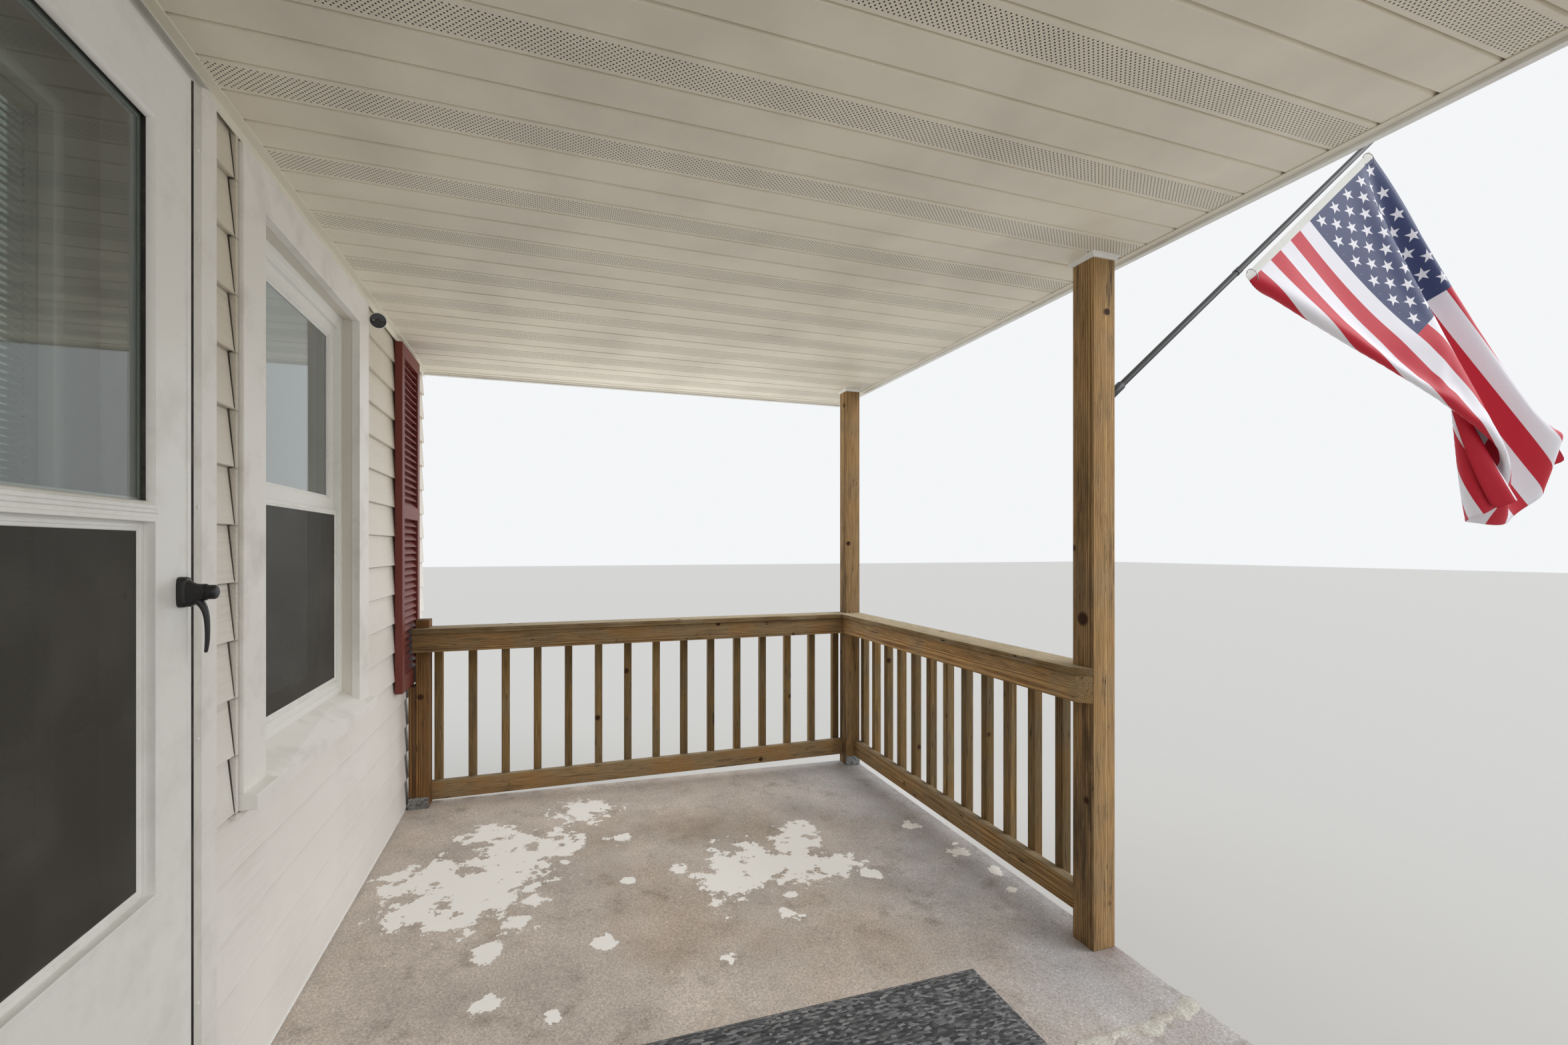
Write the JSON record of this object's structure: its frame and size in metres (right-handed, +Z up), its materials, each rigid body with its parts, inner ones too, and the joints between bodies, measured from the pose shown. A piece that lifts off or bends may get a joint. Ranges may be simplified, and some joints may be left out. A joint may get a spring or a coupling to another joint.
{
  "type": "front porch",
  "caption": "Front porch of a sided house: concrete slab, timber posts and railing, vinyl ceiling under a low lean-to roof, and the wall behind with a storm door, an entry door and windows.",
  "frame": {"origin": "middle of the slab's underside, on the ground", "axes": "+X along the wall, +Y from the street towards the house, +Z up"},
  "size_m": [5.866, 4.748, 3.273],
  "materials": {
    "concrete": null,
    "foundation": null,
    "framing": "sawn softwood framing and sheathing",
    "vinyl_cream": "cream vinyl with a faint woodgrain",
    "vinyl_white": "white vinyl",
    "post_timber": "weathered treated pine",
    "rail_timber": "weathered treated pine",
    "cap_timber": "grey weathered pine board",
    "baluster_timber": "weathered treated pine",
    "galvanized": "dull zinc",
    "shingle_asphalt": "granule surface",
    "painted_trim": "white paint on wood",
    "mill_aluminium": "mill finish",
    "white_aluminium": "white baked enamel",
    "hinge_steel": "satin",
    "window_pane": "clear float glass",
    "screen_mesh": "black fibreglass mesh",
    "shutter_red": "oxblood moulded vinyl",
    "black_metal": "black enamel",
    "flag_cloth": "woven nylon",
    "door_enamel": "white enamel on steel"
  },
  "bodies": {
    "porch": {"porch_slab": "concrete", "house_foundation": "foundation", "house_wall_left": "framing", "house_wall_right": "framing", "house_wall_over_door": "framing", "wall_siding": "vinyl_cream", "wall_base_flashing": "vinyl_white", "porch_posts": "post_timber", "wall_posts": "post_timber", "post_bases": "galvanized", "post_collars": "vinyl_white", "front_inner_rails": "rail_timber", "end_inner_rails": "rail_timber", "outer_top_rails": "rail_timber", "front_rail_caps": "cap_timber", "end_rail_caps": "cap_timber", "bottom_rails": "rail_timber", "front_balusters": "baluster_timber", "end_balusters": "baluster_timber", "soffit_ceiling": "vinyl_cream", "soffit_trim": "vinyl_cream", "header_beam": "framing", "roof_rafters": "framing", "roof_deck": "framing", "roof_shingles": "shingle_asphalt", "front_fascia": "painted_trim", "roof_end_boards": "painted_trim", "door_casing_sides": "painted_trim", "door_casing_head": "painted_trim", "door_sill": "mill_aluminium", "entry_jambs": "painted_trim", "entry_jamb_head": "painted_trim", "storm_frame_sides": "white_aluminium", "storm_drip_cap": "white_aluminium", "door_hinge_pins": "hinge_steel", "window_casings": "painted_trim", "window_sills": "painted_trim", "window_frames": "vinyl_white", "window_glass": "window_pane", "window_screens": "screen_mesh", "shutters": "shutter_red", "security_camera": "vinyl_white", "flag_bracket": "black_metal", "flag_pole": "black_metal", "flag": "flag_cloth"},
    "storm_door": {"storm_door_leaf": "white_aluminium", "storm_glass": "window_pane", "storm_screen": "screen_mesh", "storm_handle": "black_metal", "storm_hinge_knuckles": "hinge_steel"},
    "handle_button": {"handle_button": "black_metal"},
    "entry_door": {"entry_door_leaf": "door_enamel", "entry_lite": "window_pane", "entry_knob": "hinge_steel", "entry_hinge_knuckles": "hinge_steel"}
  },
  "joints": [
    {"name": "storm_door_hinge", "type": "hinge", "parent": "porch", "child": "storm_door", "pos_m": [-0.45725, 1.1725, 1.4655], "axis": [0, 0, -1], "range_deg": [0, 100]},
    {"name": "entry_door_hinge", "type": "hinge", "parent": "porch", "child": "entry_door", "pos_m": [-0.45625, 1.3625, 1.459], "axis": [0, 0, 1], "range_deg": [0, 100]},
    {"name": "handle_button_push", "type": "slide", "parent": "storm_door", "child": "handle_button", "axis": [0, 1, 0], "range_m": [0, 0.005], "stiffness_N_per_m": 400}
  ]
}
